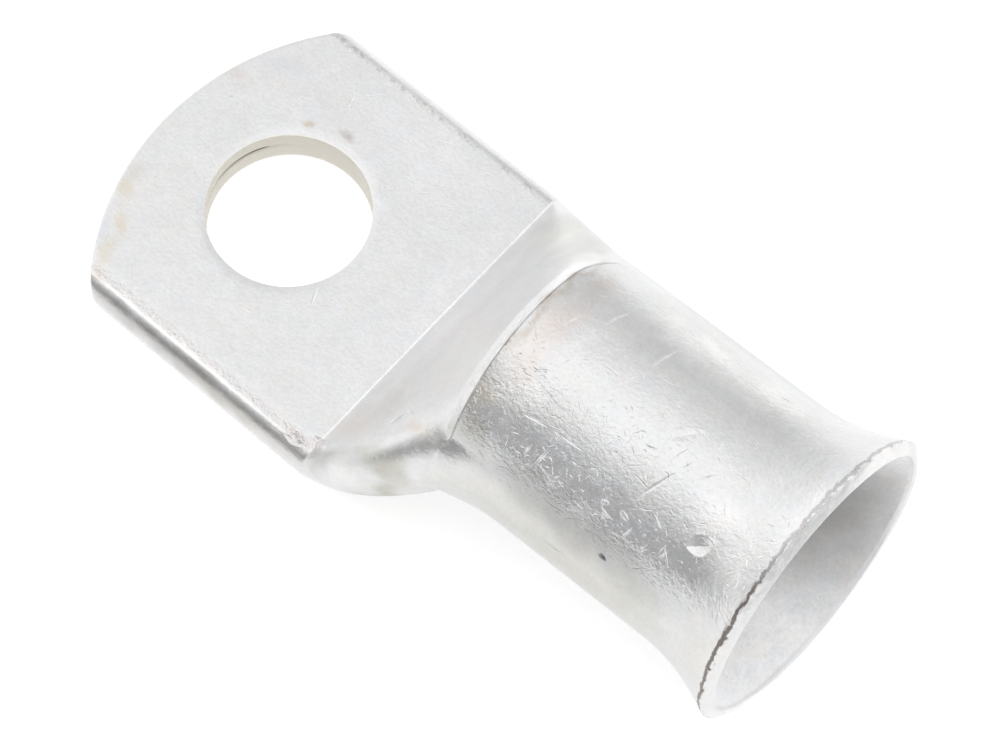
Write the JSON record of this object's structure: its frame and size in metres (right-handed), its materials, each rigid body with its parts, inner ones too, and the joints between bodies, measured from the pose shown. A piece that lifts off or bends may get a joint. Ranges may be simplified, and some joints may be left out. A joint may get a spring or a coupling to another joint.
{
  "type": "copper cable lug",
  "caption": "Tinned copper cable lug: a tube pressed flat into a palm with one stud hole, sloping up to a round barrel with a flared mouth.",
  "frame": {"origin": "centre of the stud hole in the palm's underside, which is the contact face", "axes": "+X from the stud hole towards the barrel's mouth, +Z along the stud hole out of the palm's top face, +Y across the palm"},
  "size_m": [0.0647, 0.03, 0.0245],
  "materials": {
    "tinned_copper": "satin tin plating over copper, handled and scratched"
  },
  "bodies": {
    "root": {"lug": "tinned_copper"}
  },
  "joints": []
}
